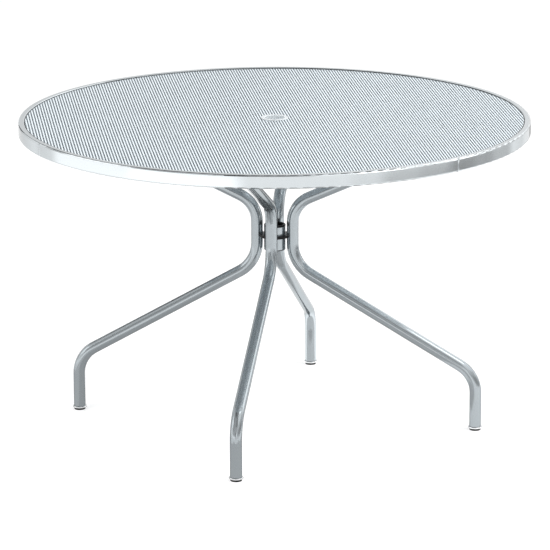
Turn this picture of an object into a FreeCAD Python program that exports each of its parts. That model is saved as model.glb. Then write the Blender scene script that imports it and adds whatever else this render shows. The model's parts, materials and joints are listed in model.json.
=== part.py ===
import FreeCAD, Part
import math
import os
import re

import Sketcher
from FreeCAD import Placement, Rotation, Vector

# Round garden table with a mesh top, an umbrella hole and four bent tube legs.
# The origin is on the floor, on the axis of the umbrella hole, and +Z is up.
# One leg lies along +X and the others follow at quarter turns. Lengths are in
# millimetres and the arm's slope is in degrees. The mesh is drawn as a coarse grid
# of diamonds, which leaves as much of the sheet as its real fine diamonds do.

SIZES = [
    # overall
    ("table_height", 740),
    ("top_diameter", 1200),
    # rim: a rectangular tube bent into a ring
    ("rim_height", 32),
    ("rim_width", 15),
    ("rim_wall", 1.5),
    ("rim_corner", 4),
    # mesh sheet inside the rim
    ("mesh_recess", 2.5),
    ("mesh_thickness", 1.5),
    ("mesh_border", 12),
    ("diamond_length", 194),
    ("diamond_width", 100),
    ("diamond_tip", 8),
    ("strand_width", 30),
    ("weld_gap", 0.1),
    # ring that lines the umbrella hole
    ("hole_bore", 46),
    ("collar_wall", 2),
    ("hole_flange_diameter", 65),
    ("hole_flange_thickness", 2),
    # bars on edge that carry the mesh
    ("bar_height", 20),
    ("bar_thickness", 5),
    # pads under the bars, and the plates on the arms that bolt to them
    ("pad_length", 76),
    ("pad_width", 40),
    ("pad_thickness", 4),
    ("pad_corner", 6),
    ("pad_centre_radius", 443),
    ("arm_plate_thickness", 4),
    # bolts, washers and nuts that hold the top on the legs
    ("bolt_diameter", 8),
    ("bolt_length", 20),
    ("bolt_spacing", 52),
    ("bolt_hole_play", 0.5),
    ("hex_width", 13),
    ("bolt_head_height", 5.3),
    ("washer_diameter", 16),
    ("washer_thickness", 1.6),
    ("nut_height", 6.5),
    ("thread_play", 0.1),
    # leg tube, and its path in the leg's own upright plane
    ("tube_diameter", 28),
    ("tube_wall", 1.5),
    ("foot_radius", 482),
    ("knee_height", 134.5),
    ("elbow_height", 387),
    ("crown_height", 531),
    ("hub_radius", 43),
    ("arm_slope", 24.5),
    ("arm_past_pad_centre", 22),
    ("knee_bend", 76),
    ("elbow_bend", 84),
    ("crown_bend", 68),
    ("shoulder_bend", 70),
    # sleeve and plate at the hub
    ("sleeve_diameter", 51),
    ("sleeve_wall", 2.3),
    ("sleeve_base", 423),
    ("sleeve_length", 54.5),
    ("hub_plate_diameter", 72),
    ("hub_plate_thickness", 6),
    ("hub_plate_base", 452),
    # plastic bushes in the sleeve
    ("pole_bore", 40),
    ("bush_length", 20),
    ("upper_lip_height", 4.5),
    ("lower_lip_height", 2.5),
    ("push_fit", 0.1),
    # foot caps and glides
    ("glide_height", 5),
    ("glide_diameter", 27),
    ("glide_stem_diameter", 10),
    ("glide_stem_length", 10),
    ("cap_flange_diameter", 34),
    ("cap_flange_height", 4),
    ("cap_spigot_length", 20),
    # plugs in the arm ends
    ("plug_head_thickness", 2.5),
    ("plug_length", 15),
    # rounded edges
    ("fine_edge", 0.8),
    ("lip_edge", 1.5),
]

doc = FreeCAD.newDocument("umbrella_table")
sheet = doc.addObject("Spreadsheet::Sheet", "sizes")
for row, (alias, number) in enumerate(SIZES, start=1):
    sheet.set(f"A{row}", alias)
    sheet.set(f"B{row}", str(number))
    sheet.setAlias(f"B{row}", alias)
doc.recompute()

NAMED = {alias: f"sizes.{alias}" for alias, number in SIZES}
LEG_TURNS = {"right": 0, "rear": 90, "left": 180, "front": 270}
DIAMOND_TURN = 135
UP = Vector(0, 0, 1)


def bound(words):
    """A formula in the sheet's names, as an expression reads it."""
    return re.sub(r"[a-z_]+", lambda word: NAMED.get(word.group(), word.group()), words)


def value(words):
    """The number that a formula in the sheet's names gives now."""
    result = sheet.evalExpression(bound(words))
    return float(getattr(result, "Value", result))


# Heights and radii that several pieces share
MESH_TOP = "table_height - mesh_recess"
MESH_BASE = f"{MESH_TOP} - mesh_thickness"
BAR_BASE = f"{MESH_BASE} - bar_height"
PAD_BASE = f"{BAR_BASE} - pad_thickness"
PLATE_BASE = f"{PAD_BASE} - arm_plate_thickness"
ARM_HEIGHT = f"{PLATE_BASE} - tube_diameter / 2"
ARM_END = "pad_centre_radius + arm_past_pad_centre"
HEAD_TOP = f"{PLATE_BASE} - washer_thickness"
HEAD_BASE = f"{HEAD_TOP} - bolt_head_height"
RIM_INSIDE = "top_diameter / 2 - rim_width"
COLLAR_RADIUS = "hole_bore / 2 + collar_wall"
MESH_RADIUS = f"{RIM_INSIDE} - weld_gap"
MESH_HOLE = f"{COLLAR_RADIUS} + weld_gap"
TUBE_BASE = "glide_height + cap_flange_height"
TUBE_BORE = "tube_diameter / 2 - tube_wall"
SLEEVE_TOP = "sleeve_base + sleeve_length"
SLEEVE_BORE = "sleeve_diameter / 2 - sleeve_wall"
HOLE_RADIUS = "bolt_diameter / 2 + bolt_hole_play"


def new_body(name, turn=0):
    """An empty piece, turned about the table's axis."""
    body = doc.addObject("PartDesign::Body", name)
    body.Label = name
    body.Placement = Placement(Vector(0, 0, 0), Rotation(UP, turn))
    return body


def new_sketch(body, name, role, lift=None):
    """A sketch on one of the body's own origin planes, lifted off it by a formula."""
    sketch = body.newObject("Sketcher::SketchObject", name)
    plane = next(item for item in body.Origin.OriginFeatures if item.Role == role)
    sketch.AttachmentSupport = [(plane, "")]
    sketch.MapMode = "FlatFace"
    if lift:
        sketch.AttachmentOffset = Placement(Vector(0, 0, value(lift)), Rotation())
        sketch.setExpression("AttachmentOffset.Base.z", bound(lift))
    return sketch


def dimension(sketch, kind, where, words):
    """Add a dimension whose number is a formula."""
    index = sketch.addConstraint(Sketcher.Constraint(kind, *where, value(words)))
    sketch.setExpression(f"Constraints[{index}]", bound(words))


def pin(sketch, geometry, point, x, y):
    """Hold a point of the sketch at a place given by two formulas."""
    for kind, words, axis in (("DistanceX", x, -2), ("DistanceY", y, -1)):
        if words == "0":
            sketch.addConstraint(Sketcher.Constraint("PointOnObject", geometry, point, axis))
        else:
            dimension(sketch, kind, (-1, 1, geometry, point), words)


def add_polygon(sketch, corners):
    """Add a closed outline with straight sides, whose corners are pairs of formulas."""
    first = sketch.GeometryCount
    count = len(corners)
    points = [Vector(value(x), value(y), 0) for x, y in corners]
    for i in range(count):
        sketch.addGeometry(Part.LineSegment(points[i], points[(i + 1) % count]), False)
    for i in range(count):
        joint = (first + i, 2, first + (i + 1) % count, 1)
        sketch.addConstraint(Sketcher.Constraint("Coincident", *joint))
    for i, (x, y) in enumerate(corners):
        pin(sketch, first + i, 1, x, y)


def add_circle(sketch, x, y, radius):
    """Add a circle whose centre and radius are formulas."""
    centre = Vector(value(x), value(y), 0)
    index = sketch.addGeometry(Part.Circle(centre, UP, value(radius)), False)
    pin(sketch, index, 3, x, y)
    dimension(sketch, "Radius", (index,), radius)


def pad(body, sketch, name, length):
    """Thicken a sketch upwards by a formula."""
    feature = body.newObject("PartDesign::Pad", name)
    feature.Profile = sketch
    feature.Length = value(length)
    feature.setExpression("Length", bound(length))
    sketch.Visibility = False
    return feature


def turn_solid(body, sketch, name):
    """Turn a sketch on the XZ plane all the way round the body's Z axis."""
    feature = body.newObject("PartDesign::Revolution", name)
    feature.Profile = sketch
    feature.ReferenceAxis = (sketch, ["V_Axis"])
    feature.Angle = 360
    sketch.Visibility = False
    return feature


def round_edges(body, base, name, radius, wanted):
    """Round the edges of the last feature that wanted() picks, by a formula."""
    doc.recompute()
    names = [f"Edge{i}" for i, edge in enumerate(base.Shape.Edges, start=1) if wanted(edge)]
    feature = body.newObject("PartDesign::Fillet", name)
    feature.Base = (base, names)
    feature.Radius = value(radius)
    feature.setExpression("Radius", bound(radius))
    return feature


def repeat_round(body, features, name):
    """Repeat features at the four legs."""
    pattern = body.newObject("PartDesign::PolarPattern", name)
    pattern.Originals = features
    axis = next(item for item in body.Origin.OriginFeatures if item.Role == "Z_Axis")
    pattern.Axis = (axis, [""])
    pattern.Angle = 360
    pattern.Occurrences = len(LEG_TURNS)
    body.Tip = pattern
    return pattern


def ring_edge(radius, height):
    """A test for the round edge that has this radius about Z, at this height."""
    r = value(radius)
    z = value(height)

    def wanted(edge):
        curve = edge.Curve
        if not isinstance(curve, Part.Circle):
            return False
        on_axis = math.hypot(curve.Center.x, curve.Center.y) < 0.01
        return on_axis and abs(curve.Radius - r) < 0.01 and abs(curve.Center.z - z) < 0.01

    return wanted


def any_ring(places):
    """A test for the round edges at any of several pairs of radius and height."""
    tests = [ring_edge(radius, height) for radius, height in places]
    return lambda edge: any(test(edge) for test in tests)


def is_upright_line(edge):
    """Whether an edge is a straight upright one."""
    return isinstance(edge.Curve, Part.Line) and abs(edge.tangentAt(edge.FirstParameter).z) > 0.99


def place_on_leg(body, radius, height, turn, tilt=0):
    """Put a body at a radius and height on a leg's plane, tipped about Y by tilt."""
    spin = Rotation(UP, turn) * Rotation(Vector(0, 1, 0), tilt)
    body.Placement = Placement(Vector(0, 0, 0), spin)
    across = round(math.cos(math.radians(turn)))
    along = round(math.sin(math.radians(turn)))
    body.setExpression("Placement.Base.x", bound(f"({radius}) * {across}"))
    body.setExpression("Placement.Base.y", bound(f"({radius}) * {along}"))
    body.setExpression("Placement.Base.z", bound(height))


def make_rim_ring():
    """Rectangular tube bent into a closed ring."""
    body = new_body("rim_ring")
    sketch = new_sketch(body, "rim_section", "XZ_Plane")
    outer = "top_diameter / 2"
    base = "table_height - rim_height"
    outside = (
        (RIM_INSIDE, base),
        (outer, base),
        (outer, "table_height"),
        (RIM_INSIDE, "table_height"),
    )
    hollow = (
        (f"{RIM_INSIDE} + rim_wall", f"{base} + rim_wall"),
        (f"{outer} - rim_wall", f"{base} + rim_wall"),
        (f"{outer} - rim_wall", "table_height - rim_wall"),
        (f"{RIM_INSIDE} + rim_wall", "table_height - rim_wall"),
    )
    add_polygon(sketch, outside)
    add_polygon(sketch, hollow)
    tube = turn_solid(body, sketch, "rim_tube")
    rounded = round_edges(body, tube, "rim_corners", "rim_corner", any_ring(outside))
    round_edges(body, rounded, "rim_hollow_corners", "rim_corner - rim_wall", any_ring(hollow))


def add_diamond(sketch, x, y):
    """Add a diamond opening with blunt ends, its long way along X."""
    slant = "sqrt(diamond_length ^ 2 + diamond_width ^ 2)"
    side = f"diamond_width / 2 - strand_width * {slant} / (2 * diamond_length)"
    point = f"diamond_length / 2 - strand_width * {slant} / (2 * diamond_width)"
    end = f"{point} - diamond_tip / 2 * diamond_length / diamond_width"
    tip = "diamond_tip / 2"
    corners = []
    for along, across in ((1, -1), (1, 1), (0, 1), (-1, 1), (-1, -1), (0, -1)):
        height = tip if along else side
        corners.append((f"{x} + {along} * ({end})", f"{y} + {across} * ({height})"))
    add_polygon(sketch, corners)


def open_diamonds(body, blank):
    """Cut two diamonds out of the sheet's corner, and repeat them both ways over all of it."""
    columns = 2 * math.floor(value(MESH_RADIUS) / value("diamond_length") + 0.5) + 1
    rows = 2 * math.floor(value(MESH_RADIUS) / value("diamond_width") + 0.5)
    grid_length = f"diamond_length * {columns - 1}"
    grid_width = f"diamond_width * {rows - 1}"
    start_x = f"-1 * {grid_length} / 2"
    start_y = f"-1 * {grid_width} / 2"
    pair = new_sketch(body, "diamond_pair", "XY_Plane", MESH_BASE)
    add_diamond(pair, start_x, start_y)
    add_diamond(pair, f"{start_x} + diamond_length / 2", f"{start_y} + diamond_width / 2")
    opening = body.newObject("PartDesign::Pocket", "diamond_openings")
    opening.Profile = pair
    opening.Type = "ThroughAll"
    opening.Reversed = True
    pair.Visibility = False
    grid = body.newObject("PartDesign::LinearPattern", "diamond_grid")
    grid.Originals = [opening]
    grid.Direction = (pair, ["H_Axis"])
    grid.Occurrences = columns
    grid.setExpression("Length", bound(grid_length))
    grid.Direction2 = (pair, ["V_Axis"])
    grid.Occurrences2 = rows
    grid.setExpression("Length2", bound(grid_width))
    body.Tip = grid
    doc.recompute()
    assert grid.Shape.Volume < blank.Shape.Volume, "the diamonds cut nothing"


def make_mesh_panel():
    """Sheet of diamond mesh inside the rim, with a plain border at the rim and at the collar."""
    body = new_body("mesh_panel", DIAMOND_TURN)
    outline = new_sketch(body, "mesh_outline", "XY_Plane", MESH_BASE)
    add_circle(outline, "0", "0", MESH_RADIUS)
    add_circle(outline, "0", "0", MESH_HOLE)
    blank = pad(body, outline, "mesh_sheet", "mesh_thickness")
    doc.recompute()
    open_diamonds(body, blank)
    borders = new_sketch(body, "mesh_borders", "XY_Plane", MESH_BASE)
    for radius in (MESH_HOLE, f"{MESH_HOLE} + mesh_border", f"{MESH_RADIUS} - mesh_border", MESH_RADIUS):
        add_circle(borders, "0", "0", radius)
    pad(body, borders, "mesh_border_sheet", "mesh_thickness")


def make_umbrella_ring():
    """Flange on the mesh with a collar that reaches down to the bars' lower edge."""
    body = new_body("umbrella_ring")
    sketch = new_sketch(body, "umbrella_ring_section", "XZ_Plane")
    bore = "hole_bore / 2"
    edge = "hole_flange_diameter / 2"
    top = f"{MESH_TOP} + hole_flange_thickness"
    corners = (
        (bore, BAR_BASE),
        (COLLAR_RADIUS, BAR_BASE),
        (COLLAR_RADIUS, MESH_TOP),
        (edge, MESH_TOP),
        (edge, top),
        (bore, top),
    )
    add_polygon(sketch, corners)
    ring = turn_solid(body, sketch, "umbrella_ring_turned")
    round_edges(body, ring, "umbrella_ring_lip", "lip_edge", any_ring(((edge, top), (bore, top))))


def make_support_bar(side, turn):
    """Flat bar on edge under the mesh, from the collar to the rim."""
    body = new_body(f"support_bar_{side}", turn)
    sketch = new_sketch(body, f"bar_outline_{side}", "XY_Plane", BAR_BASE)
    near = f"{COLLAR_RADIUS} + weld_gap"
    far = f"{RIM_INSIDE} - weld_gap"
    half = "bar_thickness / 2"
    add_polygon(sketch, ((near, f"-1 * {half}"), (far, f"-1 * {half}"), (far, half), (near, half)))
    pad(body, sketch, f"bar_{side}", "bar_height")


def make_plate(name, turn, base, thickness):
    """Plate across the arm's end, with a bolt hole on each side of the tube."""
    body = new_body(name, turn)
    sketch = new_sketch(body, f"{name}_outline", "XY_Plane", base)
    near = "pad_centre_radius - pad_width / 2"
    far = "pad_centre_radius + pad_width / 2"
    half = "pad_length / 2"
    add_polygon(sketch, ((near, f"-1 * {half}"), (far, f"-1 * {half}"), (far, half), (near, half)))
    for sign in (-1, 1):
        add_circle(sketch, "pad_centre_radius", f"{sign} * bolt_spacing / 2", HOLE_RADIUS)
    plate = pad(body, sketch, f"{name}_plate", thickness)
    round_edges(body, plate, f"{name}_corners", "pad_corner", is_upright_line)


def leg_corners():
    """Foot, knee, elbow, crown, shoulder and arm end, as radius and height."""
    rise = value(ARM_HEIGHT) - value("crown_height")
    reach = rise / math.tan(math.radians(value("arm_slope")))
    return [
        Vector(value("foot_radius"), value(TUBE_BASE), 0),
        Vector(value("foot_radius"), value("knee_height"), 0),
        Vector(value("hub_radius"), value("elbow_height"), 0),
        Vector(value("hub_radius"), value("crown_height"), 0),
        Vector(value("hub_radius") + reach, value(ARM_HEIGHT), 0),
        Vector(value(ARM_END), value(ARM_HEIGHT), 0),
    ]


def bend(before, corner, after, radius):
    """Start, end and arc of a bend that rounds a corner between two straight runs."""
    to_before = (before - corner).normalize()
    to_after = (after - corner).normalize()
    half = to_before.getAngle(to_after) / 2
    start = corner + to_before * (radius / math.tan(half))
    end = corner + to_after * (radius / math.tan(half))
    middle = (to_before + to_after).normalize()
    centre = corner + middle * (radius / math.sin(half))
    angles = [math.atan2(point.y - centre.y, point.x - centre.x) for point in (start, end)]
    turns_left = (to_after.cross(to_before)).z > 0
    if not turns_left:
        angles.reverse()
    arc = Part.ArcOfCircle(Part.Circle(centre, UP, radius), angles[0], angles[1])
    return start, end, arc, turns_left


def draw_leg_path(sketch):
    """Five straight runs joined by four tangent bends, held by the sheet's sizes."""
    corners = leg_corners()
    bends = ["knee_bend", "elbow_bend", "crown_bend", "shoulder_bend"]
    rounded = [
        bend(corners[i], corners[i + 1], corners[i + 2], value(size)) for i, size in enumerate(bends)
    ]
    starts = [corners[0]] + [item[1] for item in rounded]
    ends = [item[0] for item in rounded] + [corners[-1]]
    runs = [sketch.addGeometry(Part.LineSegment(a, b), False) for a, b in zip(starts, ends)]
    arcs = [sketch.addGeometry(item[2], False) for item in rounded]
    for i, size in enumerate(bends):
        first, last = (1, 2) if rounded[i][3] else (2, 1)
        sketch.addConstraint(Sketcher.Constraint("Tangent", runs[i], 2, arcs[i], first))
        sketch.addConstraint(Sketcher.Constraint("Tangent", arcs[i], last, runs[i + 1], 1))
        dimension(sketch, "Radius", (arcs[i],), size)
    foot, slope, upright, arm, end = runs
    sketch.addConstraint(Sketcher.Constraint("Vertical", foot))
    sketch.addConstraint(Sketcher.Constraint("Vertical", upright))
    sketch.addConstraint(Sketcher.Constraint("Horizontal", end))
    pin(sketch, foot, 1, "foot_radius", TUBE_BASE)
    pin(sketch, end, 2, ARM_END, ARM_HEIGHT)
    dimension(sketch, "DistanceX", (-1, 1, upright, 1), "hub_radius")
    for corner, first, second, height in (
        (1, foot, slope, "knee_height"),
        (2, slope, upright, "elbow_height"),
        (3, upright, arm, "crown_height"),
    ):
        mark = sketch.addGeometry(Part.Point(corners[corner]), True)
        sketch.addConstraint(Sketcher.Constraint("PointOnObject", mark, 1, first))
        sketch.addConstraint(Sketcher.Constraint("PointOnObject", mark, 1, second))
        dimension(sketch, "DistanceY", (-1, 1, mark, 1), height)
    angle = sketch.addConstraint(
        Sketcher.Constraint("Angle", -1, 1, arm, 1, math.radians(value("arm_slope")))
    )
    sketch.setExpression(f"Constraints[{angle}]", bound("arm_slope * 1 deg"))


def make_leg(side, turn):
    """Round tube bent from the foot up to the hub and out again under the top."""
    body = new_body(f"leg_{side}", turn)
    path = new_sketch(body, f"leg_path_{side}", "XZ_Plane")
    draw_leg_path(path)
    section = new_sketch(body, f"leg_section_{side}", "XY_Plane", TUBE_BASE)
    add_circle(section, "foot_radius", "0", "tube_diameter / 2")
    add_circle(section, "foot_radius", "0", TUBE_BORE)
    doc.recompute()
    tube = body.newObject("PartDesign::AdditivePipe", f"leg_tube_{side}")
    tube.Profile = section
    tube.Spine = (path, [])
    path.Visibility = False
    section.Visibility = False


def make_hub_sleeve():
    """Short tube round the umbrella pole, between the four legs."""
    body = new_body("hub_sleeve")
    sketch = new_sketch(body, "sleeve_outline", "XY_Plane", "sleeve_base")
    add_circle(sketch, "0", "0", "sleeve_diameter / 2")
    add_circle(sketch, "0", "0", SLEEVE_BORE)
    pad(body, sketch, "sleeve_tube", "sleeve_length")


def make_hub_plate():
    """Round plate on the sleeve with a notch for each leg."""
    body = new_body("hub_plate")
    sketch = new_sketch(body, "plate_outline", "XY_Plane", "hub_plate_base")
    add_circle(sketch, "0", "0", "hub_plate_diameter / 2")
    add_circle(sketch, "0", "0", "sleeve_diameter / 2 + weld_gap")
    blank = pad(body, sketch, "plate_blank", "hub_plate_thickness")
    doc.recompute()
    notch_sketch = new_sketch(body, "notch_outline", "XY_Plane", "hub_plate_base")
    add_circle(notch_sketch, "hub_radius", "0", "tube_diameter / 2 + weld_gap")
    notch = body.newObject("PartDesign::Pocket", "plate_notch")
    notch.Profile = notch_sketch
    notch.Type = "ThroughAll"
    notch.Reversed = True
    notch_sketch.Visibility = False
    doc.recompute()
    assert notch.Shape.Volume < blank.Shape.Volume, "the notch cuts nothing"
    repeat_round(body, [notch], "plate_notches")


def make_pole_bush(name, seat, lip, inward):
    """Plastic bush with a lip on one end of the sleeve; inward is +1 up, -1 down."""
    body = new_body(name)
    sketch = new_sketch(body, f"{name}_section", "XZ_Plane")
    outside = "sleeve_diameter / 2"
    skirt = f"{SLEEVE_BORE} - push_fit"
    bore = "pole_bore / 2"
    face = f"{seat} - {inward} * {lip}"
    end = f"{seat} + {inward} * bush_length"
    corners = (
        (bore, face),
        (outside, face),
        (outside, seat),
        (skirt, seat),
        (skirt, end),
        (bore, end),
    )
    add_polygon(sketch, corners)
    bush = turn_solid(body, sketch, f"{name}_turned")
    round_edges(body, bush, f"{name}_lip", "lip_edge", any_ring(corners[:2]))


def make_foot_cap(side, turn):
    """Flared cap whose spigot fits in the tube, with a hole for the glide's stem."""
    body = new_body(f"foot_cap_{side}")
    sketch = new_sketch(body, f"foot_cap_section_{side}", "XZ_Plane")
    hole = "glide_stem_diameter / 2 + push_fit"
    hole_end = "glide_height + glide_stem_length + push_fit"
    flange = "cap_flange_diameter / 2"
    spigot = f"{TUBE_BORE} - push_fit"
    spigot_end = f"{TUBE_BASE} + cap_spigot_length"
    corners = (
        (hole, "glide_height"),
        (flange, "glide_height"),
        (flange, TUBE_BASE),
        (spigot, TUBE_BASE),
        (spigot, spigot_end),
        ("0", spigot_end),
        ("0", hole_end),
        (hole, hole_end),
    )
    add_polygon(sketch, corners)
    cap = turn_solid(body, sketch, f"foot_cap_turned_{side}")
    round_edges(body, cap, f"foot_cap_flange_{side}", "lip_edge", any_ring(corners[1:3]))
    place_on_leg(body, "foot_radius", "0", turn)


def make_foot_glide(side, turn):
    """Plastic disc on the floor, with a stem up into the cap."""
    body = new_body(f"foot_glide_{side}")
    sketch = new_sketch(body, f"foot_glide_section_{side}", "XZ_Plane")
    edge = "glide_diameter / 2"
    stem = "glide_stem_diameter / 2"
    stem_end = "glide_height + glide_stem_length"
    corners = (
        ("0", "0"),
        (edge, "0"),
        (edge, "glide_height"),
        (stem, "glide_height"),
        (stem, stem_end),
        ("0", stem_end),
    )
    add_polygon(sketch, corners)
    glide = turn_solid(body, sketch, f"foot_glide_turned_{side}")
    round_edges(body, glide, f"foot_glide_edge_{side}", "fine_edge", ring_edge(edge, "0"))
    place_on_leg(body, "foot_radius", "0", turn)


def make_arm_plug(side, turn):
    """Plastic plug in the open end of an arm, with its own axis along Z until placed."""
    body = new_body(f"arm_plug_{side}")
    sketch = new_sketch(body, f"arm_plug_section_{side}", "XZ_Plane")
    head = "tube_diameter / 2"
    spigot = f"{TUBE_BORE} - push_fit"
    top = "plug_head_thickness"
    end = "-1 * plug_length"
    add_polygon(sketch, (("0", end), (spigot, end), (spigot, "0"), (head, "0"), (head, top), ("0", top)))
    plug = turn_solid(body, sketch, f"arm_plug_turned_{side}")
    round_edges(body, plug, f"arm_plug_edge_{side}", "lip_edge", ring_edge(head, top))
    place_on_leg(body, ARM_END, ARM_HEIGHT, turn, tilt=90)


def add_hexagon(sketch, x, y):
    """Add a hexagon for a bolt head or nut, two of its sides along X."""
    point = "hex_width / sqrt(3)"
    flat = "hex_width / 2"
    corners = []
    for across, along in ((1, 0), (0.5, 1), (-0.5, 1), (-1, 0), (-0.5, -1), (0.5, -1)):
        corners.append((f"{x} + {across} * {point}", f"{y} + {along} * {flat}"))
    add_polygon(sketch, corners)


def fastener_body(name):
    """A piece that holds several equal solids."""
    body = new_body(name)
    body.AllowCompound = True
    return body


BOLT_PLACES = [("pad_centre_radius", f"{sign} * bolt_spacing / 2") for sign in (-1, 1)]


def make_bolts():
    """Hexagon bolts that pass up through the arm plates and the bar pads."""
    body = fastener_body("top_bolts")
    heads = new_sketch(body, "bolt_heads", "XY_Plane", HEAD_BASE)
    shanks = new_sketch(body, "bolt_shanks", "XY_Plane", HEAD_TOP)
    for x, y in BOLT_PLACES:
        add_hexagon(heads, x, y)
        add_circle(shanks, x, y, "bolt_diameter / 2")
    head = pad(body, heads, "bolt_head", "bolt_head_height")
    shank = pad(body, shanks, "bolt_shank", "bolt_length")
    repeat_round(body, [head, shank], "bolts_at_legs")


def make_washers():
    """Flat washers between the bolt heads and the arm plates."""
    body = fastener_body("top_washers")
    sketch = new_sketch(body, "washer_outline", "XY_Plane", HEAD_TOP)
    for x, y in BOLT_PLACES:
        add_circle(sketch, x, y, "washer_diameter / 2")
        add_circle(sketch, x, y, "bolt_diameter / 2 + thread_play")
    washer = pad(body, sketch, "washer", "washer_thickness")
    repeat_round(body, [washer], "washers_at_legs")


def make_nuts():
    """Hexagon nuts on the bar pads, on both sides of each bar."""
    body = fastener_body("top_nuts")
    sketch = new_sketch(body, "nut_outline", "XY_Plane", BAR_BASE)
    for x, y in BOLT_PLACES:
        add_hexagon(sketch, x, y)
        add_circle(sketch, x, y, "bolt_diameter / 2 + thread_play")
    nut = pad(body, sketch, "nut", "nut_height")
    repeat_round(body, [nut], "nuts_at_legs")


def check_document():
    """Stop if an object failed, or a piece is empty or not valid."""
    for item in doc.Objects:
        if "Invalid" in item.State or "Error" in item.State:
            raise RuntimeError(f"{item.Label} failed: {item.State}")
    for body in doc.findObjects("PartDesign::Body"):
        if body.Shape.isNull() or not body.Shape.isValid():
            raise RuntimeError(f"{body.Label} has no valid shape")


make_rim_ring()
make_mesh_panel()
make_umbrella_ring()
for side_name, leg_turn in LEG_TURNS.items():
    make_support_bar(side_name, leg_turn)
    make_plate(f"bar_pad_{side_name}", leg_turn, PAD_BASE, "pad_thickness")
    make_plate(f"arm_plate_{side_name}", leg_turn, PLATE_BASE, "arm_plate_thickness")
    make_leg(side_name, leg_turn)
    make_arm_plug(side_name, leg_turn)
    make_foot_cap(side_name, leg_turn)
    make_foot_glide(side_name, leg_turn)
make_hub_sleeve()
make_hub_plate()
make_pole_bush("upper_pole_bush", SLEEVE_TOP, "upper_lip_height", -1)
make_pole_bush("lower_pole_bush", "sleeve_base", "lower_lip_height", 1)
make_bolts()
make_washers()
make_nuts()

doc.recompute()
check_document()
os.makedirs("parts", exist_ok=True)
for piece in doc.findObjects("PartDesign::Body"):
    piece.Shape.exportStep(f"parts/{piece.Label}.step")
    print(piece.Label, len(piece.Shape.Solids), round(piece.Shape.Volume))
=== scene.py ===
"""Looks of the umbrella table: silver paint, diamond mesh, rim, hub and feet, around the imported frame."""
import json
import math

import bmesh
import bpy
from mathutils import Matrix, Vector


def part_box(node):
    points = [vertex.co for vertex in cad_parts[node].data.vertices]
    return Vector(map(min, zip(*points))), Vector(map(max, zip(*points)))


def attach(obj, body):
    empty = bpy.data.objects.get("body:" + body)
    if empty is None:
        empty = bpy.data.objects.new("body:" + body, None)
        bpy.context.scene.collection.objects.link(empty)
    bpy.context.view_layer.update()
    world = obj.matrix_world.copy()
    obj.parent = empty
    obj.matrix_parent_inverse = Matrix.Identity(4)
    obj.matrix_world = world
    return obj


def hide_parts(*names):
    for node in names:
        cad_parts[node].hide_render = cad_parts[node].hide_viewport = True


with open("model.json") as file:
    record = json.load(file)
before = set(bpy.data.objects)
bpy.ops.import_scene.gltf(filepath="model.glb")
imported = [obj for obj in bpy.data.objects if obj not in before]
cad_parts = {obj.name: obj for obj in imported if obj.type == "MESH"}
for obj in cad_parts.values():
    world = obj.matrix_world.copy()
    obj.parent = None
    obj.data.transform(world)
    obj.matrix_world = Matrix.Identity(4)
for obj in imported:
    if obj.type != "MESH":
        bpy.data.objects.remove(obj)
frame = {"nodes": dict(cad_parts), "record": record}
nodes = frame["nodes"]
scene = bpy.context.scene
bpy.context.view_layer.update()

MM = 0.001
SIDES = {"right": 0, "rear": 90, "left": 180, "front": 270}
QUARTER = 90
TINY = 1e-9

# Camera, fitted to the rim and the feet in a picture of 550 by 550 pixels
IMAGE_SIZE = 550
FOCAL_PIXELS = 3510.5
SENSOR = 36
CAMERA_REACH = 100
CAMERA_DISTANCE = 8.3285
CAMERA_TARGET = Vector((0.0001, 0, 0.3567))
CAMERA_ELEVATION = 14.78
CAMERA_AZIMUTH = 10.7
CAMERA_ROLL = 0.179

# Stage: azimuths are counted from the camera's side, 0 towards the camera and 90 to its right
FLOOR_SIZE = 80
FLOOR_GLOW = 0.62
FLOOR_COLOUR = 0.5
SKY_LIGHT = 0.75

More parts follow.
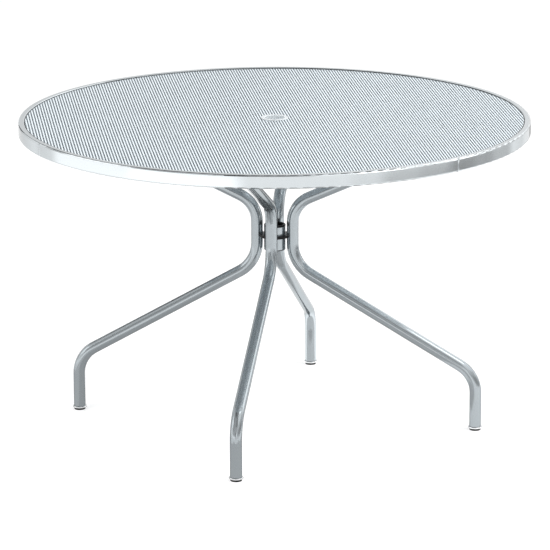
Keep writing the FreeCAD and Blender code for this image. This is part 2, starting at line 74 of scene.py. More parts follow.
# Studio cards: left and right azimuth, low and high elevation, and level
CARD_DISTANCE = 7
CARD_STEP = 6
CARDS = {
    "card_rear_low": (150, 204, 0, 11, 1.8),
    "card_rear_right": (150, 180, 11, 24, 1.4),
    "card_rear_left": (180, 204, 11, 24, 1.2),
    "card_rear_right_high": (160, 180, 24, 50, 1.2),
    "card_left_rear_dark": (-156, -146, 3, 45, 0.05),
    "card_left_rear_low": (-146, -118, 3, 30, 1.15),
    "card_left_rear_high": (-146, -118, 30, 62, 0.08),
    "card_left_far_low": (-118, -104, 3, 30, 0.6),
    "card_left_low": (-104, -64, 3, 14, 1.2),
    "card_left_bright": (-104, -64, 14, 32, 1.8),
    "card_left_middle": (-118, -72, 32, 45, 0.9),
    "card_left_high": (-118, -72, 45, 55, 0.65),
    "card_front_left_low": (-64, -28, 3, 15, 0.75),
    "card_front_left": (-72, -44, 15, 55, 0.45),
    "card_front": (-44, -10, 15, 55, 0.66),
    "card_front_dark": (-28, 0, 3, 15, 0.35),
    "card_front_low": (0, 14, 3, 14, 1.7),
    "card_front_right": (-10, 24, 30, 62, 0.35),
    "card_front_right_low": (-10, 24, 15, 30, 0.7),
    "card_right_front_low": (14, 36, 3, 14, 0.7),
    "card_right_front": (24, 36, 14, 55, 1.15),
    "card_right_low": (36, 96, 3, 17, 0.42),
    "card_right_middle": (36, 96, 17, 30, 0.82),
    "card_right": (36, 96, 30, 50, 1.4),
    "card_key": (60, 106, 50, 61, 3.6),
    "card_right_corner": (96, 106, 3, 50, 1.1),
    "card_right_rear": (106, 124, 12, 42, 2.1),
    "card_right_rear_low": (106, 124, 3, 12, 1.2),
    "card_right_rear_high": (106, 124, 42, 62, 0.2),
    "card_far_right": (124, 142, 31, 52, 2.3),
    "card_far_right_low": (124, 142, 3, 31, 0.75),
    "card_far_right_high": (124, 150, 52, 62, 0.2),
    "card_right_far_rear": (142, 160, 11, 42, 1.9),
    "card_ceiling_left": (-180, -10, 55, 90, 0.08),
    "card_ceiling_front": (-10, 40, 62, 90, 0.35),
    "card_ceiling_right": (40, 100, 62, 74, 1.6),
    "card_ceiling_top": (40, 100, 74, 90, 0.35),
    "card_ceiling_rear": (100, 180, 62, 90, 0.2),
}

# Low cards stand on the floor, and the rim's side reflects them: left and right azimuth, and level
LOW_CARD_DISTANCE = 2.7
LOW_CARD_HEIGHT = 0.25
LOW_CARD_STEP = 1.5
SOFT_EDGE = 6
LOW_CARDS = {
    "low_card_rear_left": (-172, -120, 1.3),
    "low_card_far_left": (-120, -104, 1.05),
    "low_card_left": (-104, -60, 1.5),
    "low_card_front_left": (-60, -14, 1.75),
    "low_card_middle": (-14, 30, 1.12),
    "low_card_middle_right": (30, 43, 0.95),
    "low_card_front_right": (43, 60, 0.64),
    "low_card_right": (60, 75, 0.54),
    "low_card_dark": (75, 89, 0.33),
    "low_card_right_rear": (89, 103, 0.48),
    "low_card_far_right": (103, 119, 0.7),
    "low_card_rear_right": (119, 136, 1.3),
    "low_card_rear_bright": (136, 151, 1.6),
    "low_card_rear": (151, 172, 0.6),
    "low_card_back": (172, 188, 0.95),
}

# Floor cards lie on the floor: left, right, near and far edge as the camera sees them, and level
FLOOR_CARD_HEIGHT = 0.5 * MM
# The dimmer floor cards near the feet are painted shadow of the table, seen only in reflections
FLOOR_CARDS = {
    "floor_card_far_left": (-1.0, -0.49, -0.4, 0.3, 0.85),
    "floor_card_left": (-0.49, -0.08, -0.3, 0.25, 0.65),
    "floor_card_middle": (-0.08, 0.3, -0.3, 0.25, 0.78),
    "floor_card_front": (-0.45, 0.35, -0.9, -0.3, 0.8),
    "floor_card_rear": (-0.9, 1.0, 0.47, 1.4, 2.4),
    "floor_card_far_rear": (-1.2, 1.2, 1.4, 4.0, 1.9),
}

# Lamps: azimuth, elevation, distance, size and power
LAMP_AIM = Vector((0, 0, 0.4))
LAMPS = {
    "key_lamp": (75, 48, 4.0, 2.2, 110),
    "fill_lamp": (-60, 40, 4.5, 2.5, 45),
}

# Noise of the finishes: scale, detail and roughness
CLOUDS = (9, 3, 0.5)
FLAKES = (900, 2, 0.6)
PEEL = (260, 2, 0.5)
GRAIN = (1400, 2, 0.5)

# How far the finishes' shade and roughness stray, how deep their bumps are, and their gloss
SHADE_STRAY = 0.04
PAINT_WEAR = 0.04
PLASTIC_WEAR = 0.08
PEEL_STRENGTH = 0.003
PEEL_DEPTH = 1 * MM
GRAIN_STRENGTH = 0.2
GRAIN_DEPTH = 0.2 * MM
PAINT_SPECULAR = 0.3
PLASTIC_SPECULAR = 0.2

# Nodes that take a lighter copy of the silver paint in place of their slot's: painted light that brightens
# them
LIT_PAINT_COPIES = {"rim_ring": "rim_lit_paint", "umbrella_ring": "ring_lit_paint"}

# Hub, bars and arms that the beads of weld run along
LEG_RADIUS = 14 * MM
HUB_RADIUS = 43 * MM
SLEEVE_RADIUS = 25.5 * MM
NOTCH_REACH = 51.5
BAR_HALF_THICKNESS = 2.5 * MM
ARM_WELD_ENDS = (429 * MM, 457 * MM)
ARM_WELD_SIDE = 6.5 * MM

# Beads of weld, and the dark line round the mesh, a painted shadow where it meets the rim
WELD_STEP = 1.2 * MM
WELD_SIDES = 8
WELD_RIPPLE = 0.1
WELD_END = 0.1
STEEP = 0.7
HUB_WELD = 1.2 * MM
SLEEVE_WELD = 1.0 * MM
BAR_WELD = 1.5 * MM
ARM_WELD = 1.8 * MM
EDGE_BEAD = 0.9 * MM
EDGE_STEP = 4 * MM

# Rim's corner, and the two seams of its bent halves: places, section, and the angles of their rows
RIM_CORNER = 4 * MM
RIM_JOINTS = {"rim_joint_right": 323.8, "rim_joint_left": 217.6}
JOINT_HALF_WIDTH = 2.2 * MM
JOINT_RISE = 0.15 * MM
JOINT_SECTION = ((-1, 0), (-1, 0.9), (-0.5, 1.7), (0, 2), (0.5, 1.7), (1, 0.9), (1, 0))
JOINT_TOP = 66
TOP_CORNER_STEP = 11
LOW_CORNER_STEP = 15

# Bolts that hold the bars to the arms
BOLT_RADIUS = 443 * MM
BOLT_SIDE = 26 * MM
HEX_WIDTH = 13 * MM
HEX_FACE_SHARE = 0.95
HEX_FACE = HEX_FACE_SHARE * HEX_WIDTH / 2
HEX_CHAMFER = 30
HEX_TURN = 60
HEX_POINTS = 48
SHANK_RADIUS = 4 * MM
THREAD_PITCH = 1.25 * MM
THREAD_DEPTH = 0.6 * MM
NUT_PLAY = 0.05 * MM

# Diamond mesh: the diamonds' long way runs at LONG_WAY, and the strands lean from it by HALF_ANGLE
STRAND_PITCH = 6.55 * MM
WIDE_STRAND = 3.2 * MM
NARROW_STRAND = 1.6 * MM
LONG_WAY = 135
HALF_ANGLE = 27.3
BLUNT_TIP = 0.6 * MM
LEAST_OPENING = 1.5 * MM
MESH_BORDER = 0.6 * MM
MERGE_DIGITS = 6


def polar(radius, degrees, height=0):
    """A point at a radius and an angle about Z."""
    angle = math.radians(degrees)
    return Vector((radius * math.cos(angle), radius * math.sin(angle), height))


def turned(degrees):
    """Rotation about Z."""
    return Matrix.Rotation(math.radians(degrees), 3, "Z")


def stage_point(azimuth, elevation, distance):
    """A point round the table, its azimuth counted from the camera's side to its right."""
    level = distance * math.cos(math.radians(elevation))
    point = polar(level, azimuth - QUARTER + CAMERA_AZIMUTH)
    point.z = distance * math.sin(math.radians(elevation))
    return point


def new_object(name, mesh):
    """Put a mesh in the scene."""
    obj = bpy.data.objects.new(name, mesh)
    scene.collection.objects.link(obj)
    return obj


def new_piece(name, mesh):
    """Put a mesh in the scene as a piece of the table, hung under the root body."""
    piece = new_object(name, mesh)
    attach(piece, "root")
    return piece


def make_camera():
    """Camera at the photograph's angle."""
    data = bpy.data.cameras.new("camera")
    data.sensor_width = SENSOR
    data.lens = FOCAL_PIXELS * SENSOR / IMAGE_SIZE
    data.clip_end = CAMERA_REACH
    camera = new_object("camera", data)
    back = stage_point(0, CAMERA_ELEVATION, 1)
    camera.location = turned(CAMERA_AZIMUTH) @ CAMERA_TARGET + back * CAMERA_DISTANCE
    aim = (-back).to_track_quat("-Z", "Y").to_matrix()
    camera.rotation_euler = (aim @ turned(-CAMERA_ROLL)).to_euler()
    scene.camera = camera


class Nodes:
    """Shorthand for building a node tree."""

    def __init__(self, owner):
        owner.use_nodes = True
        self.tree = owner.node_tree
        self.tree.nodes.clear()

    def add(self, kind, **settings):
        """A node, with properties and unlinked inputs set by name."""
        node = self.tree.nodes.new(kind)
        for key, value in settings.items():
            if key in node.inputs:
                node.inputs[key].default_value = value
            else:
                setattr(node, key, value)
        return node

    def join(self, source, target):
        """Link an output to an input."""
        self.tree.links.new(source, target)

    def math(self, operation, *sources):
        """A number worked out from outputs."""
        node = self.add("ShaderNodeMath", operation=operation)
        for source, target in zip(sources, node.inputs):
            self.join(source, target)
        return node.outputs[0]

    def spread(self, source, low, high):
        """An output that runs from 0 to 1, brought to the range from low to high."""
        node = self.add("ShaderNodeMapRange")
        node.inputs["To Min"].default_value = low
        node.inputs["To Max"].default_value = high
        self.join(source, node.inputs["Value"])
        return node.outputs[0]

    def stray(self, source, middle, reach):
        """An output that runs from 0 to 1, made to stray from a middle by up to a reach."""
        return self.spread(source, middle - reach, middle + reach)

    def noise(self, place, scale, detail, roughness):
        """Noise in the table's own coordinates."""
        node = self.add("ShaderNodeTexNoise", Scale=scale, Detail=detail, Roughness=roughness)
        self.join(place.outputs["Object"], node.inputs["Vector"])
        return node.outputs["Fac"]

    def finish(self, shader, kind="ShaderNodeOutputMaterial"):
        """Lead a shader to the tree's output."""
        self.join(shader.outputs[0], self.add(kind).inputs[0])


def shown_rays(tree):
    """One where a ray comes from the camera, a mirror or glass, else nought."""
    rays = tree.add("ShaderNodeLightPath").outputs
    seen = tree.math("MAXIMUM", rays["Is Camera Ray"], rays["Is Glossy Ray"])
    return tree.math("MAXIMUM", seen, rays["Is Transmission Ray"])


def mix_seen(tree, hidden, seen):
    """A shader that is seen in one way, and lights the table in another."""
    mix = tree.add("ShaderNodeMixShader")
    tree.join(shown_rays(tree), mix.inputs[0])
    tree.join(hidden.outputs[0], mix.inputs[1])
    tree.join(seen.outputs[0], mix.inputs[2])
    return mix


def make_world():
    """White where it is seen, and a plain level where it lights."""
    world = bpy.data.worlds.new("world")
    scene.world = world
    tree = Nodes(world)
    light = tree.add("ShaderNodeBackground", Color=(1, 1, 1, 1), Strength=SKY_LIGHT)
    seen = tree.add("ShaderNodeBackground", Color=(1, 1, 1, 1), Strength=1.0)
    tree.finish(mix_seen(tree, light, seen), "ShaderNodeOutputWorld")


def make_floor():
    """White floor that keeps the table's soft shadow."""
    mesh = bpy.data.meshes.new("floor")
    half = FLOOR_SIZE / 2
    corners = [(-half, -half, 0), (half, -half, 0), (half, half, 0), (-half, half, 0)]
    mesh.from_pydata(corners, [], [(0, 1, 2, 3)])
    floor = new_object("floor", mesh)
    material = bpy.data.materials.new("floor_white")
    tree = Nodes(material)
    colour = (FLOOR_COLOUR, FLOOR_COLOUR, FLOOR_COLOUR, 1)
    matte = tree.add("ShaderNodeBsdfDiffuse", Color=colour)
    glow = tree.add("ShaderNodeEmission", Strength=FLOOR_GLOW)
    both = tree.add("ShaderNodeAddShader")
    tree.join(matte.outputs[0], both.inputs[0])
    tree.join(glow.outputs[0], both.inputs[1])
    tree.finish(mix_seen(tree, matte, both))
    mesh.materials.append(material)


def make_card_light():
    """Light-giving material of the studio cards, whose points hold its level."""
    material = bpy.data.materials.new("card_light")
    tree = Nodes(material)
    level = tree.add("ShaderNodeAttribute", attribute_name="level")
    glow = tree.add("ShaderNodeEmission")
    tree.join(level.outputs["Fac"], glow.inputs["Strength"])
    tree.finish(glow)
    return material


def add_card(name, rows, levels, light):
    """A studio card that only reflections see, from rows of points and a level for each point of a row."""
    points = [point for row in rows for point in row]
    width = len(rows[0])
    faces = []
    for i in range(len(rows) - 1):
        for j in range(width - 1):
            at = i * width + j
            faces.append((at, at + 1, at + width + 1, at + width))
    mesh = bpy.data.meshes.new(name)
    mesh.from_pydata(points, [], faces)
    mesh.attributes.new("level", "FLOAT", "POINT").data.foreach_set("value", levels * len(rows))
    mesh.materials.append(light)
    card = new_object(name, mesh)
    card.visible_camera = False
    card.visible_diffuse = False
    card.visible_shadow = False
    card.visible_transmission = False


def spaced(low, high, step):
    """Evenly spaced values from low to high, at most step apart."""
    count = max(1, math.ceil((high - low) / step))
    return [low + (high - low) * i / count for i in range(count + 1)]


def low_card_level(azimuth):
    """Level of the low cards at an azimuth: each one fades into the next over a soft edge."""
    total = 0
    for left, right, level in LOW_CARDS.values():
        away = abs((azimuth - (left + right) / 2 + 180) % 360 - 180)
        inside = ((right - left) / 2 - away) / SOFT_EDGE + 0.5
        total += level * min(max(inside, 0), 1)
    return total


def make_cards():
    """Light and dark studio cards: all round the table, on the floor, and low down."""
    light = make_card_light()
    for name, (left, right, low, high, level) in CARDS.items():
        azimuths = spaced(left, right, CARD_STEP)
        rows = [
            [stage_point(azimuth, elevation, CARD_DISTANCE) for azimuth in azimuths]
            for elevation in spaced(low, high, CARD_STEP)
        ]
        add_card(name, rows, [level] * len(azimuths), light)
    turn = turned(CAMERA_AZIMUTH)
    for name, (left, right, near, far, level) in FLOOR_CARDS.items():
        rows = [[turn @ Vector((x, y, FLOOR_CARD_HEIGHT)) for x in (left, right)] for y in (near, far)]
        add_card(name, rows, [level, level], light)
    for name, (left, right, level) in LOW_CARDS.items():
        azimuths = spaced(left, right, LOW_CARD_STEP)
        foot = [stage_point(azimuth, 0, LOW_CARD_DISTANCE) for azimuth in azimuths]
        rows = [[point + Vector((0, 0, z)) for point in foot] for z in (0, LOW_CARD_HEIGHT)]
        add_card(name, rows, [low_card_level(azimuth) for azimuth in azimuths], light)


def make_lamps():
    """Soft lamps on both sides."""
    for name, (azimuth, elevation, distance, size, power) in LAMPS.items():
        data = bpy.data.lights.new(name, "AREA")
        data.shape = "DISK"
        data.size = size
        data.energy = power
        lamp = new_object(name, data)
        lamp.location = stage_point(azimuth, elevation, distance)
        lamp.rotation_euler = (lamp.location - LAMP_AIM).to_track_quat("Z", "Y").to_euler()
        lamp.visible_camera = False
        lamp.visible_glossy = False


def paint_upright_shade(tree, place, level, painted_shade_share):
    """A level, brought down on upright faces to a share of it: painted shade on the walls of the mesh's
    openings.
    """
    parts = tree.add("ShaderNodeSeparateXYZ")
    tree.join(place.outputs["Normal"], parts.inputs[0])
    lying = tree.math("ABSOLUTE", parts.outputs["Z"])
    return tree.math("MULTIPLY", level, tree.spread(lying, painted_shade_share, 1))


def paint(name, colour, metal=0.85, roughness=0.19, edge=0.55, painted_shade_share=1):
    """Silver paint: fine flake, slight cloudiness and an orange-peel surface.

    edge is how bright a face is that is seen along itself; the last argument is the share of the colour left
    on upright faces, painted shade that darkens the walls of the mesh's openings.
    """
    material = bpy.data.materials.new(name)
    tree = Nodes(material)
    place = tree.add("ShaderNodeTexCoord")
    clouds = tree.noise(place, *CLOUDS)
    flakes = tree.noise(place, *FLAKES)
    skin = tree.noise(place, *PEEL)
    level = tree.math("MULTIPLY", tree.stray(flakes, 1, SHADE_STRAY), tree.stray(clouds, 1, SHADE_STRAY))
    if painted_shade_share < 1:
        # Painted shade: upright faces come out darker than lying ones
        level = paint_upright_shade(tree, place, level, painted_shade_share)
    tint = tree.add("ShaderNodeVectorMath", operation="SCALE")
    tint.inputs[0].default_value = colour
    tree.join(level, tint.inputs["Scale"])
    bump = tree.add("ShaderNodeBump", Strength=PEEL_STRENGTH, Distance=PEEL_DEPTH)
    tree.join(skin, bump.inputs["Height"])
    shader = tree.add("ShaderNodeBsdfPrincipled", Metallic=metal)
    shader.inputs["Specular Tint"].default_value = (edge, edge, edge, 1)
    shader.inputs["Specular IOR Level"].default_value = PAINT_SPECULAR
    tree.join(tint.outputs[0], shader.inputs["Base Color"])
    tree.join(tree.stray(clouds, roughness, PAINT_WEAR), shader.inputs["Roughness"])
    tree.join(bump.outputs[0], shader.inputs["Normal"])
    tree.finish(shader)
    return material


def plastic(name, colour, roughness):
    """Moulded plastic with a fine spark-eroded grain."""
    material = bpy.data.materials.new(name)
    tree = Nodes(material)
    grain = tree.noise(tree.add("ShaderNodeTexCoord"), *GRAIN)
    bump = tree.add("ShaderNodeBump", Strength=GRAIN_STRENGTH, Distance=GRAIN_DEPTH)
    tree.join(grain, bump.inputs["Height"])
    shader = tree.add("ShaderNodeBsdfPrincipled")
    shader.inputs["Base Color"].default_value = (*colour, 1)
    shader.inputs["Specular IOR Level"].default_value = PLASTIC_SPECULAR
    tree.join(tree.stray(grain, roughness, PLASTIC_WEAR), shader.inputs["Roughness"])
    tree.join(bump.outputs[0], shader.inputs["Normal"])
    tree.finish(shader)
    return material


def make_materials():
    """One material for each of the record's slots, and three more: lighter copies of the silver paint for
    the rim and the umbrella ring, which are painted light, and a dark paint for the painted shadow round the
    mesh's edge.
    """
    black = (0.004, 0.004, 0.005)
    # The mesh's, the rim's and the umbrella ring's colours are lighter copies of the silver paint's: painted
    # light that brightens them
    mesh_lit_colour = (0.73, 0.81, 0.86)
    return {
        "silver_paint": paint("silver_paint_coat", (0.395, 0.43, 0.45), roughness=0.15, edge=0.4),
        "rim_lit_paint": paint("rim_lit_paint_coat", (0.66, 0.7, 0.72), metal=0.95, roughness=0.1, edge=0.6),
        "edge_shadow_paint": paint("edge_shadow_paint_shade", (0.05, 0.055, 0.06), metal=0.2, roughness=0.5),
        "ring_lit_paint": paint("ring_lit_paint_coat", (0.66, 0.7, 0.72), metal=0.35, roughness=0.28),
        "mesh_paint": paint("mesh_lit_paint_coat", mesh_lit_colour, metal=0.45, roughness=0.24, edge=1, painted_shade_share=0.4),
        "black_plastic": plastic("black_plastic_moulded", black, 0.45),
        "black_coat": plastic("black_coat_satin", black, 0.4),
        "zinc_steel": paint("zinc_steel_plate", (0.55, 0.55, 0.53), metal=1.0, roughness=0.32),
        "cap_steel": paint("cap_steel_bright", (0.88, 0.89, 0.9), metal=1.0, roughness=0.12, edge=0.4),
    }


def dress_nodes(materials):
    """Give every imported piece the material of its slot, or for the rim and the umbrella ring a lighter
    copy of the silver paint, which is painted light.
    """
    for part in frame["record"]["subparts"]:
        mesh = nodes[part["node"]].data
        slot = LIT_PAINT_COPIES.get(part["node"], part["material_slot"])
        mesh.materials.clear()
        mesh.materials.append(materials[slot])


def mesh_hole_radius():
    """Radius of the hole at the mesh's centre."""
    return min(vertex.co.xy.length for vertex in nodes["mesh_panel"].data.vertices)


def clip_to_circle(polygon, radius, keep_inside):
    """The part of a small convex polygon that lies inside or outside a circle about the axis."""
    sign = 1 if keep_inside else -1
    kept = []
    for start, end in zip(polygon, polygon[1:] + polygon[:1]):
        start_in = sign * (radius - start.length) >= 0
        end_in = sign * (radius - end.length) >= 0
        if start_in:
            kept.append(start)
        if start_in != end_in:
            step = end - start
            a = step.dot(step)
            b = start.dot(step)
            c = start.dot(start) - radius * radius
            root = math.sqrt(max(b * b - a * c, 0))
            share = next(t for t in ((-b - root) / a, (-b + root) / a) if -TINY <= t <= 1 + TINY)
            kept.append(start + step * share)
    return kept


def polygon_area(polygon):
    """Area of a plane polygon."""
    pairs = zip(polygon, polygon[1:] + polygon[:1])
    return abs(sum(a.x * b.y - a.y * b.x for a, b in pairs)) / 2


def ring_faces(outer, inner):
    """Triangles between a convex outline and a smaller one inside it, as points."""
    centre = sum(inner, Vector((0, 0))) / len(inner)

    def angle(point):
        return math.atan2(point.y - centre.y, point.x - centre.x)

    rings = []
    for ring in (outer, inner):
        first = min(range(len(ring)), key=lambda i: angle(ring[i]))
        rings.append(ring[first:] + ring[:first])
    outer, inner = rings
    outer_angles = [angle(point) for point in outer] + [angle(outer[0]) + 2 * math.pi]
    inner_angles = [angle(point) for point in inner] + [angle(inner[0]) + 2 * math.pi]
    faces = []
    i = j = 0
    while i < len(outer) or j < len(inner):
        a = outer[i % len(outer)]
        b = inner[j % len(inner)]
        if j == len(inner) or (i < len(outer) and outer_angles[i + 1] <= inner_angles[j + 1]):
            i += 1
            faces.append((a, outer[i % len(outer)], b))
        else:
            j += 1
            faces.append((a, inner[j % len(inner)], b))
    return faces


def mesh_cells(outer_radius, inner_radius):
    """Centre, outline and opening of each cell of the diamond mesh between two circles."""
    lean = math.radians(HALF_ANGLE)
    way = Matrix.Rotation(math.radians(LONG_WAY), 2)
    slant = math.sin(2 * lean)
    pitch_side = STRAND_PITCH / slant
    along = Vector((math.cos(lean), math.sin(lean)))
    across = Vector((math.cos(lean), -math.sin(lean)))
    cell = [Vector((-pitch_side * math.cos(lean), 0)), Vector((0, -pitch_side * math.sin(lean)))]
    cell += [-point for point in cell]
    half_along = along * (STRAND_PITCH - WIDE_STRAND) / slant / 2
    half_across = across * (STRAND_PITCH - NARROW_STRAND) / slant / 2
    cut = BLUNT_TIP / (2 * math.sin(lean))
    tip = half_along + half_across
    opening = [across * cut - tip, half_across - half_along, tip - along * cut]
    opening += [-point for point in opening]
    count = int(outer_radius / (pitch_side * math.sin(lean))) + 2
    for i in range(-count, count + 1):
        for j in range(-count, count + 1):
            centre = (along * i + across * j) * pitch_side
            if centre.length > outer_radius + pitch_side:
                continue
            outline = [way @ (centre + point) for point in cell]
            hole = [way @ (centre + point) for point in opening]
            distances = [point.length for point in outline]
            if max(distances) > outer_radius:
                outline = clip_to_circle(outline, outer_radius, True)
                hole = clip_to_circle(hole, outer_radius - MESH_BORDER, True)
            elif min(distances) < inner_radius:
                outline = clip_to_circle(outline, inner_radius, False)
                hole = clip_to_circle(hole, inner_radius + MESH_BORDER, False)
            if len(outline) >= 3:
                yield way @ centre, outline, hole


class Sheet:
    """Points and faces of a flat mesh, where shared points are kept once."""

    def __init__(self, height):
        self.height = height
        self.points = []
        self.index = {}
        self.faces = []

    def add(self, shape):
        """Add a polygon, unless it has shrunk to a line."""
        face = []
        for point in shape:
            key = (round(point.x, MERGE_DIGITS), round(point.y, MERGE_DIGITS))
            if key not in self.index:
                self.index[key] = len(self.points)
                self.points.append((point.x, point.y, self.height))
            if self.index[key] not in face:
                face.append(self.index[key])
        if len(face) >= 3:
            self.faces.append(face)


def make_mesh_panel(material):
    """Diamond mesh in four quarters that meet, each a closed solid."""
    low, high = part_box("mesh_panel")
    quarters = {name: Sheet(high.z) for name in SIDES}
    sheets = list(quarters.values())
    for centre, outline, hole in mesh_cells(high.x, mesh_hole_radius()):
        bearing = math.degrees(math.atan2(centre.y, centre.x)) + QUARTER / 2
        sheet = sheets[int(bearing % 360 // QUARTER)]
        if len(hole) >= 3 and polygon_area(hole) > LEAST_OPENING**2:
            shapes = ring_faces(outline, hole)
        else:
            shapes = [outline]
        for shape in shapes:
            sheet.add(shape)
    for name, sheet in quarters.items():
        mesh = bpy.data.meshes.new(f"diamond_mesh_{name}")
        mesh.from_pydata(sheet.points, [], sheet.faces)
        mesh.materials.append(material)
        quarter = new_piece(f"diamond_mesh_{name}", mesh)
        depth = quarter.modifiers.new("thickness", "SOLIDIFY")
        depth.thickness = high.z - low.z
        depth.offset = -1
        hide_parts("mesh_panel")


def solid(name, points, faces, material, smooth=True):
    """A closed piece with its faces turned outwards."""
    mesh = bpy.data.meshes.new(name)
    mesh.from_pydata(points, [], faces)
    mesh.materials.append(material)
    work = bmesh.new()
    work.from_mesh(mesh)
    bmesh.ops.recalc_face_normals(work, faces=work.faces)
    for face in work.faces:
        face.smooth = smooth
    work.to_mesh(mesh)
    work.free()
    return new_piece(name, mesh)


def rings_to_faces(start, rows, width, closed):
    """Quads between rows of points, joined round each row, with end caps where the rows don't close."""
    faces = []
    for i in range(rows if closed else rows - 1):
        here = start + i * width
        there = start + (i + 1) % rows * width
        for k in range(width):
            after = (k + 1) % width
            faces.append((here + k, here + after, there + after, there + k))
    if not closed:
        last = start + (rows - 1) * width
        faces.append(tuple(range(start, start + width)))
        faces.append(tuple(range(last, last + width)))
    return faces


def bead_points(route, radius, closed, ripple):
    """Rows of points round a bead's route: rippled, and drawn in at open ends."""
    points = []
    count = len(route)
    for i, centre in enumerate(route):
        before = route[i - 1] if closed or i > 0 else centre
        after = route[(i + 1) % count] if closed or i < count - 1 else centre
        forward = (after - before).normalized()
        guide = Vector((1, 0, 0)) if abs(forward.z) > STEEP else Vector((0, 0, 1))
        side = forward.cross(guide).normalized()
        up = side.cross(forward)
        full = 1
        if not closed:
            share = WELD_END + (1 - 2 * WELD_END) * i / (count - 1)
            full = math.sqrt(math.sin(math.pi * share))
        size = radius * full * (1 + ripple * (-1) ** i)
        for k in range(WELD_SIDES):
            angle = 2 * math.pi * k / WELD_SIDES
            points.append(centre + (side * math.cos(angle) + up * math.sin(angle)) * size)
    return points


def weld(name, routes, radius, material, closed=False, ripple=WELD_RIPPLE):
    """Beads of weld along their routes, as one piece."""
    points = []
    faces = []
    for route in routes:
        faces += rings_to_faces(len(points), len(route), WELD_SIDES, closed)
        points += bead_points(route, radius, closed, ripple)
    solid(name, points, faces, material)


def arc(centre, radius, start, end, height, step=WELD_STEP):
    """Points along a level arc, in an even number of steps, so that a ripple closes round a ring."""
    count = max(2, math.ceil(radius * math.radians(end - start) / step / 2) * 2)
    level = Vector((centre.x, centre.y, height))
    return [level + polar(radius, start + (end - start) * i / count) for i in range(count + 1)]


def full_circle(radius, height, step=WELD_STEP):
    """Points round the axis, the first not repeated at the end."""
    return arc(Vector(), radius, 0, 360, height, step)[:-1]


def line(start, end):
    """Points along a straight bead."""
    count = max(2, math.ceil((end - start).length / WELD_STEP))
    return [start.lerp(end, i / count) for i in range(count + 1)]


def make_hub_welds(material):
    """Beads above and under the hub plate, at the legs and round the sleeve."""
    heights = [corner.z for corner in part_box("hub_plate")]
    routes = []
    for side in SIDES.values():
        leg = polar(HUB_RADIUS, side)
        inward = side + 180
        for height in heights:
            routes.append(arc(leg, LEG_RADIUS, inward - NOTCH_REACH, inward + NOTCH_REACH, height))
    weld("hub_leg_welds", routes, HUB_WELD, material)
    rings = [full_circle(SLEEVE_RADIUS, height) for height in heights]
    weld("hub_sleeve_welds", rings, SLEEVE_WELD, material, closed=True)


def make_bar_welds(name, turn, material):
    """Upright beads at both ends of a bar, at the collar and at the rim."""
    low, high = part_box(f"support_bar_{name}")
    rise = Vector((0, 0, high.z - low.z - 2 * BAR_WELD))
    routes = []
    for radius in (mesh_hole_radius(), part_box("mesh_panel")[1].x):
        for half in (-BAR_HALF_THICKNESS, BAR_HALF_THICKNESS):
            foot = turn @ Vector((radius, half, low.z + BAR_WELD))
            routes.append(line(foot, foot + rise))
    weld(f"bar_welds_{name}", routes, BAR_WELD, material)


def make_arm_welds(name, turn, material):
    """Beads between an arm and the plate on it."""
    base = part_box(f"arm_plate_{name}")[0].z - ARM_WELD / 2
    routes = []
    for half in (-ARM_WELD_SIDE, ARM_WELD_SIDE):
        routes.append(line(*(turn @ Vector((radius, half, base)) for radius in ARM_WELD_ENDS)))
    weld(f"arm_welds_{name}", routes, ARM_WELD, material)


def make_edge_shadow_line(material):
    """Dark line round the mesh, where it meets the rim: a painted shadow in the corner between them."""
    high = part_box("mesh_panel")[1]
    ring = full_circle(high.x, high.z + EDGE_BEAD / 2, EDGE_STEP)
    weld("mesh_edge_shadow_line", [ring], EDGE_BEAD, material, closed=True, ripple=0)


def make_welds(materials):
    """Beads at the hub, the bars' ends and the arm plates, and the dark line round the mesh, which is
    painted shadow.
    """
    silver = materials["silver_paint"]
    make_hub_welds(silver)
    for name, side in SIDES.items():
        make_bar_welds(name, turned(side), silver)
        make_arm_welds(name, turned(side), silver)
    make_edge_shadow_line(materials["edge_shadow_paint"])


def make_rim_joints(material):
    """Dressed weld seams across the rim, from its top corner round to its underside."""
    low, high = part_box("rim_ring")
    corner = high.x - RIM_CORNER
    outline = [(high.z - RIM_CORNER, degrees) for degrees in range(JOINT_TOP, -1, -TOP_CORNER_STEP)]
    outline += [(low.z + RIM_CORNER, degrees) for degrees in range(0, -QUARTER - 1, -LOW_CORNER_STEP)]
    for name, side in RIM_JOINTS.items():
        points = []
        across = polar(1, side + QUARTER)
        for height, degrees in outline:
            angle = math.radians(degrees)
            out = polar(math.cos(angle), side, math.sin(angle))
            foot = polar(corner, side, height) + out * (RIM_CORNER - JOINT_RISE)
            for shift, rise in JOINT_SECTION:
                points.append(foot + across * shift * JOINT_HALF_WIDTH + out * rise * JOINT_RISE)
        faces = rings_to_faces(0, len(outline), len(JOINT_SECTION), False)
        solid(name, points, faces, material)


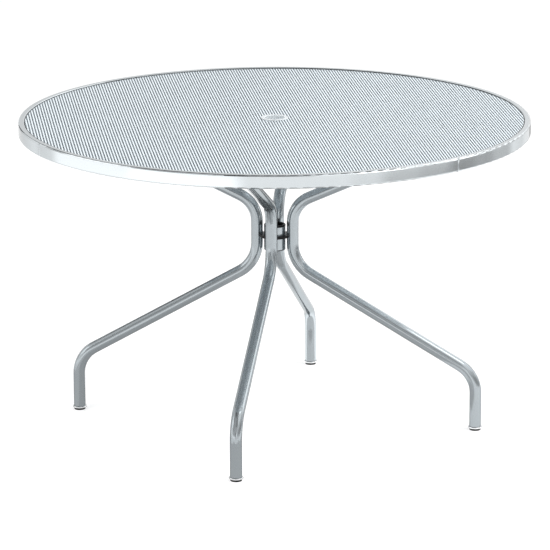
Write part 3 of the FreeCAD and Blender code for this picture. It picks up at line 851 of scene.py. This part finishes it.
def turned_hex(centre, profile):
    """Rows of points round an upright axis, from rows of (radius, height, chamfer).

    chamfer is None on a round row. A six-sided row takes its width from HEX_WIDTH and not
    from radius. Its chamfer is 1 where its corners are cut away upwards, -1 where they are
    cut away downwards, and 0 where they are whole.
    """
    points = []
    apothem = HEX_WIDTH / 2
    for radius, height, chamfer in profile:
        for k in range(HEX_POINTS):
            degrees = 360 * k / HEX_POINTS
            reach = radius
            drop = 0
            if chamfer is not None:
                reach = apothem / math.cos(math.radians((degrees + HEX_TURN / 2) % HEX_TURN - HEX_TURN / 2))
                drop = max(0, reach - HEX_FACE) * math.tan(math.radians(HEX_CHAMFER)) * chamfer
            points.append(centre + polar(reach, degrees, height + drop))
    return points


def bolt_profile():
    """Rows of a bolt, from the face of its head up to the end of its thread."""
    low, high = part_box("top_bolts")
    washer_low, washer_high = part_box("top_washers")
    head_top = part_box("arm_plate_right")[0].z - (washer_high.z - washer_low.z)
    rows = [(HEX_FACE, low.z, None), (0, low.z, 1), (0, head_top, 0), (SHANK_RADIUS, head_top, None)]
    root_radius = SHANK_RADIUS - THREAD_DEPTH
    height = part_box("top_nuts")[0].z
    while height + THREAD_PITCH < high.z:
        rows.append((SHANK_RADIUS, height, None))
        rows.append((root_radius, height + THREAD_PITCH / 2, None))
        height += THREAD_PITCH
    rows.append((SHANK_RADIUS, height, None))
    rows.append((root_radius, high.z, None))
    return rows


def nut_profile():
    """Rows of a nut, from its bore round its outside and back."""
    low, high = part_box("top_nuts")
    bore = SHANK_RADIUS + NUT_PLAY
    rows = [(bore, low.z, None), (HEX_FACE, low.z, None), (0, low.z, 1)]
    rows += [(0, high.z, -1), (HEX_FACE, high.z, None), (bore, high.z, None)]
    return rows


def make_fasteners(name, node, profile, closed, material):
    """The same bolt or nut at both sides of each bar, in place of a node."""
    points = []
    faces = []
    for side in SIDES.values():
        for shift in (-BOLT_SIDE, BOLT_SIDE):
            centre = turned(side) @ Vector((BOLT_RADIUS, shift, 0))
            faces += rings_to_faces(len(points), len(profile), HEX_POINTS, closed)
            points += turned_hex(centre, profile)
    piece = solid(name, points, faces, material, smooth=False)
    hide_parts(node)


make_camera()
make_world()
make_floor()
make_cards()
make_lamps()
materials = make_materials()
dress_nodes(materials)
make_mesh_panel(materials["mesh_paint"])
make_welds(materials)
make_rim_joints(materials["rim_lit_paint"])
make_fasteners("hex_bolts", "top_bolts", bolt_profile(), False, materials["zinc_steel"])
make_fasteners("hex_nuts", "top_nuts", nut_profile(), True, materials["zinc_steel"])
scene.view_settings.view_transform = "Standard"
